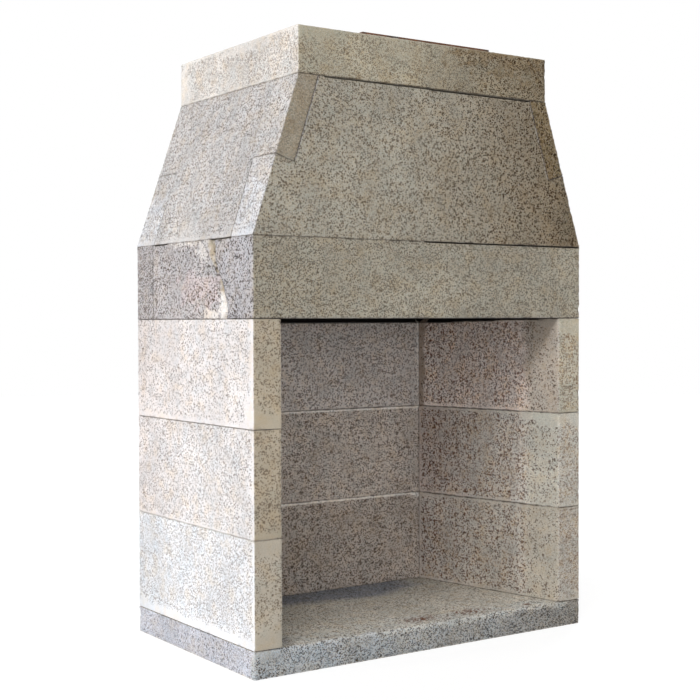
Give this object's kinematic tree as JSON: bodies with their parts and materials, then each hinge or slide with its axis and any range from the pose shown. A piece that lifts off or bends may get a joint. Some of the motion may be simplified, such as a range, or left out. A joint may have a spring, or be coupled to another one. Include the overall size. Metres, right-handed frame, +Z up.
{
  "type": "open fireplace",
  "caption": "Open masonry fireplace of precast pumice-concrete blocks: hearth slab, splayed firebox, lintel, smoke dome with finger-jointed corners, flue collar and a turning steel damper.",
  "frame": {"origin": "middle of the hearth slab's underside, on the floor", "axes": "+Z up, +X to the right seen from the front, the opening faces -Y"},
  "size_m": [1.24, 0.74, 1.844],
  "materials": {
    "wall_stone": "matte, porous pumice concrete with wormy pits",
    "back_stone": "matte, porous pumice concrete, heat darkened",
    "slab_stone": "matte, finely speckled grey concrete",
    "band_stone": "matte, porous pumice concrete",
    "dome_stone": "matte, porous pumice concrete, stained near the top",
    "rusty_steel": "rust-brown rolled plate",
    "dark_steel": "dark mill scale with soot",
    "bolt_steel": "dull zinc"
  },
  "bodies": {
    "hearth": {"hearth_slab": "slab_stone", "left_wall_lower": "wall_stone", "left_wall_middle": "wall_stone", "left_wall_upper": "wall_stone", "right_wall_lower": "wall_stone", "right_wall_middle": "wall_stone", "right_wall_upper": "wall_stone", "back_wall_lower": "back_stone", "back_wall_middle": "back_stone", "back_wall_upper": "back_stone", "lintel_beam": "band_stone", "rear_beam": "band_stone", "left_band_block": "band_stone", "right_band_block": "band_stone", "dome_front_panel": "dome_stone", "dome_back_panel": "dome_stone", "dome_left_panel": "dome_stone", "dome_right_panel": "dome_stone", "flue_collar": "dome_stone", "damper_plate": "rusty_steel", "left_bearing_bracket": "dark_steel", "right_bearing_bracket": "dark_steel", "bracket_bolt_left_front": "bolt_steel", "bracket_bolt_left_back": "bolt_steel", "bracket_bolt_right_front": "bolt_steel", "bracket_bolt_right_back": "bolt_steel", "bracket_nut_left_front": "bolt_steel", "bracket_nut_left_back": "bolt_steel", "bracket_nut_right_front": "bolt_steel", "bracket_nut_right_back": "bolt_steel"},
    "flap": {"damper_spindle": "dark_steel", "damper_flap": "dark_steel", "left_spindle_strap": "dark_steel", "right_spindle_strap": "dark_steel", "strap_rivet_left_front": "bolt_steel", "strap_rivet_left_back": "bolt_steel", "strap_rivet_right_front": "bolt_steel", "strap_rivet_right_back": "bolt_steel", "pull_lug": "dark_steel"},
    "pull_rod": {"pull_rod": "dark_steel", "pull_rod_pin": "bolt_steel"}
  },
  "joints": [
    {"name": "damper_turn", "type": "hinge", "parent": "hearth", "child": "flap", "pos_m": [0, -0.01, 1.823], "axis": [-1, 0, 0], "range_deg": [0, 90]},
    {"name": "rod_swing", "type": "hinge", "parent": "flap", "child": "pull_rod", "pos_m": [0, -0.135, 1.805], "axis": [-1, 0, 0], "range_deg": [-90, 0]}
  ],
  "couplings": [
    {"joint": "rod_swing", "follows": "damper_turn", "ratio": -1}
  ]
}
